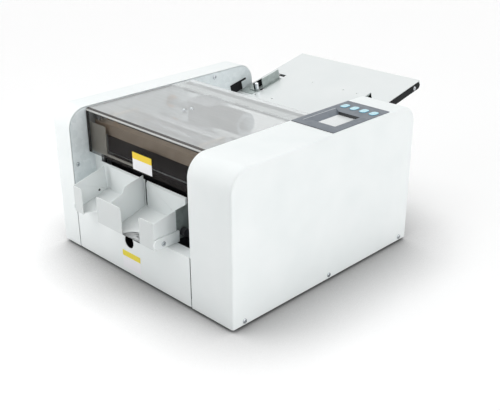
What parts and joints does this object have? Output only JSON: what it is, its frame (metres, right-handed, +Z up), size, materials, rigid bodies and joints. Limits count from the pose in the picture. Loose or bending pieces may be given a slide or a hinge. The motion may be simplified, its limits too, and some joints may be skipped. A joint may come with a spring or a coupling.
{
  "type": "card cutter",
  "caption": "Desktop electric card cutter: slits a sheet fed from a tilted rear table, cross-cuts it behind a hinged smoked window and drops the cards into a front tray.",
  "frame": {"origin": "middle of the machine's footprint, tray and feed table included, at the level of the feet", "axes": "+X to the right seen from the tray, +Y back along the paper path towards the feed table, +Z up"},
  "size_m": [0.4032, 0.5591, 0.2372],
  "materials": {
    "white_enamel": "satin powder coat",
    "galvanised": "zinc plated sheet",
    "bright_steel": "ground",
    "blade_steel": "ground and polished",
    "chrome_plate": "polished",
    "smoked_acrylic": "polished",
    "clear_acrylic": "polished",
    "black_enamel": "satin",
    "bezel_plastic": "fine texture",
    "button_rubber": "translucent",
    "display_window": "clear",
    "black_rubber": "moulded",
    "roller_rubber": "ground",
    "dark_plastic": "moulded",
    "motor_enamel": "satin",
    "gear_brass": "hobbed",
    "bearing_bronze": "sintered",
    "gear_nylon": "moulded",
    "board_green": "soldered board",
    "table_enamel": "satin powder coat",
    "beam_aluminium": "extruded"
  },
  "bodies": {
    "machine": {"base_plate": "galvanised", "rubber_feet": "black_rubber", "left_frame_plate": "galvanised", "right_frame_plate": "galvanised", "left_cover": "white_enamel", "right_cover": "white_enamel", "exit_plate": "white_enamel", "exit_side_plate": "galvanised", "rear_panel": "white_enamel", "tie_bars": "bright_steel", "rear_strip": "clear_acrylic", "hinge_pin": "bright_steel", "shaft_bearings": "bearing_bronze", "knife_guides": "galvanised", "fixed_knife": "blade_steel", "paper_deck": "galvanised", "card_tray": "white_enamel", "tray_divider": "white_enamel", "tray_arms": "white_enamel", "feed_table": "table_enamel", "table_rails": "black_enamel", "drive_motor": "motor_enamel", "drive_belt": "black_rubber", "cutter_motor": "motor_enamel", "power_supply": "galvanised", "circuit_board": "board_green", "control_bezel": "bezel_plastic", "display_module": "display_window", "power_inlet": "dark_plastic", "screws": "chrome_plate"},
    "window": {"window_cover": "smoked_acrylic", "window_screws": "chrome_plate"},
    "waste_drawer": {"drawer_front": "white_enamel", "waste_bin": "dark_plastic"},
    "lower_slitter": {"lower_slitter_shaft": "bright_steel", "lower_slitter_discs": "blade_steel", "lower_slitter_gear": "gear_brass"},
    "upper_slitter": {"upper_slitter_shaft": "bright_steel", "upper_slitter_discs": "blade_steel", "upper_slitter_gear": "gear_brass"},
    "feed_roller": {"feed_roller": "roller_rubber"},
    "feed_pinch_roller": {"feed_pinch_roller": "roller_rubber"},
    "exit_roller": {"exit_roller": "roller_rubber"},
    "exit_pinch_roller": {"exit_pinch_roller": "roller_rubber"},
    "feed_idler": {"feed_idler_gear": "gear_nylon"},
    "exit_idler": {"exit_idler_gear": "gear_nylon"},
    "motor_rotor": {"motor_shaft": "bright_steel"},
    "knife": {"knife_beam": "beam_aluminium", "moving_knife": "blade_steel"},
    "cutter_shaft": {"cutter_shaft": "bright_steel"},
    "cutter_pinion": {"cutter_pinion": "gear_brass"},
    "left_guide": {"left_guide": "bright_steel"},
    "right_guide": {"right_guide": "bright_steel"},
    "left_guide_knob": {"left_guide_knob": "chrome_plate"},
    "right_guide_knob": {"right_guide_knob": "chrome_plate"},
    "button_1": {"button_1": "button_rubber"},
    "button_2": {"button_2": "button_rubber"},
    "button_3": {"button_3": "button_rubber"},
    "button_4": {"button_4": "button_rubber"},
    "power_rocker": {"power_rocker": "dark_plastic"}
  },
  "joints": [
    {"name": "window_hinge", "type": "hinge", "parent": "machine", "child": "window", "pos_m": [0, -0.04956, 0.232], "axis": [-1, 0, 0], "range_deg": [0, 100]},
    {"name": "drawer_slide", "type": "slide", "parent": "machine", "child": "waste_drawer", "axis": [0, -1, 0], "range_m": [0, 0.15]},
    {"name": "lower_slitter_spin", "type": "hinge", "parent": "machine", "child": "lower_slitter", "pos_m": [0, -0.10756, 0.1305], "axis": [1, 0, 0], "continuous": true},
    {"name": "upper_slitter_spin", "type": "hinge", "parent": "machine", "child": "upper_slitter", "pos_m": [0, -0.10756, 0.1795], "axis": [1, 0, 0], "continuous": true},
    {"name": "feed_roller_spin", "type": "hinge", "parent": "machine", "child": "feed_roller", "pos_m": [0, -0.05256, 0.14285], "axis": [1, 0, 0], "continuous": true},
    {"name": "feed_pinch_spin", "type": "hinge", "parent": "machine", "child": "feed_pinch_roller", "pos_m": [0, -0.05256, 0.16515], "axis": [1, 0, 0], "continuous": true},
    {"name": "exit_roller_spin", "type": "hinge", "parent": "machine", "child": "exit_roller", "pos_m": [0, -0.15756, 0.14285], "axis": [1, 0, 0], "continuous": true},
    {"name": "exit_pinch_spin", "type": "hinge", "parent": "machine", "child": "exit_pinch_roller", "pos_m": [0, -0.15756, 0.16515], "axis": [1, 0, 0], "continuous": true},
    {"name": "feed_idler_spin", "type": "hinge", "parent": "machine", "child": "feed_idler", "pos_m": [0, -0.06675, 0.11473], "axis": [1, 0, 0], "continuous": true},
    {"name": "exit_idler_spin", "type": "hinge", "parent": "machine", "child": "exit_idler", "pos_m": [0, -0.14764, 0.11295], "axis": [1, 0, 0], "continuous": true},
    {"name": "motor_spin", "type": "hinge", "parent": "machine", "child": "motor_rotor", "pos_m": [0, -0.05356, 0.205], "axis": [1, 0, 0], "continuous": true},
    {"name": "cutter_turn", "type": "hinge", "parent": "machine", "child": "cutter_shaft", "pos_m": [0, -0.17756, 0.203], "axis": [1, 0, 0], "range_deg": [0, 180]},
    {"name": "knife_slide", "type": "slide", "parent": "machine", "child": "knife", "axis": [0, 0, -1], "range_m": [0, 0.01]},
    {"name": "cutter_pinion_turn", "type": "hinge", "parent": "machine", "child": "cutter_pinion", "pos_m": [0, -0.16006, 0.17269], "axis": [1, 0, 0], "range_deg": [-540, 0]},
    {"name": "left_guide_slide", "type": "slide", "parent": "machine", "child": "left_guide", "axis": [1, 0, 0], "range_m": [-0.01, 0.006]},
    {"name": "right_guide_slide", "type": "slide", "parent": "machine", "child": "right_guide", "axis": [1, 0, 0], "range_m": [-0.028, 0.002]},
    {"name": "left_knob_turn", "type": "hinge", "parent": "left_guide", "child": "left_guide_knob", "pos_m": [-0.1238, 0.12074, 0.19301], "axis": [0, -0.212, 0.9773], "range_deg": [0, 360]},
    {"name": "right_knob_turn", "type": "hinge", "parent": "right_guide", "child": "right_guide_knob", "pos_m": [0.0938, 0.12074, 0.19301], "axis": [0, -0.212, 0.9773], "range_deg": [0, 360]},
    {"name": "button_1_press", "type": "slide", "parent": "machine", "child": "button_1", "axis": [0, 0, -1], "range_m": [0, 0.001], "stiffness_N_per_m": 300, "springref_m": -0.001},
    {"name": "button_2_press", "type": "slide", "parent": "machine", "child": "button_2", "axis": [0, 0, -1], "range_m": [0, 0.001], "stiffness_N_per_m": 300, "springref_m": -0.001},
    {"name": "button_3_press", "type": "slide", "parent": "machine", "child": "button_3", "axis": [0, 0, -1], "range_m": [0, 0.001], "stiffness_N_per_m": 300, "springref_m": -0.001},
    {"name": "button_4_press", "type": "slide", "parent": "machine", "child": "button_4", "axis": [0, 0, -1], "range_m": [0, 0.001], "stiffness_N_per_m": 300, "springref_m": -0.001},
    {"name": "rocker_tilt", "type": "hinge", "parent": "machine", "child": "power_rocker", "pos_m": [0.149, 0.13544, 0.043], "axis": [1, 0, 0], "range_deg": [0, 16]}
  ],
  "couplings": [
    {"joint": "upper_slitter_spin", "follows": "lower_slitter_spin", "ratio": -1},
    {"joint": "feed_roller_spin", "follows": "lower_slitter_spin", "ratio": 2},
    {"joint": "exit_roller_spin", "follows": "lower_slitter_spin", "ratio": 2},
    {"joint": "feed_pinch_spin", "follows": "lower_slitter_spin", "ratio": -2.4},
    {"joint": "exit_pinch_spin", "follows": "lower_slitter_spin", "ratio": -2.4},
    {"joint": "feed_idler_spin", "follows": "lower_slitter_spin", "ratio": -1.2727},
    {"joint": "exit_idler_spin", "follows": "lower_slitter_spin", "ratio": -1.2727},
    {"joint": "motor_spin", "follows": "lower_slitter_spin", "ratio": -2},
    {"joint": "knife_slide", "follows": "cutter_turn", "m_per_rad": 0.003183},
    {"joint": "cutter_pinion_turn", "follows": "cutter_turn", "ratio": -3}
  ]
}
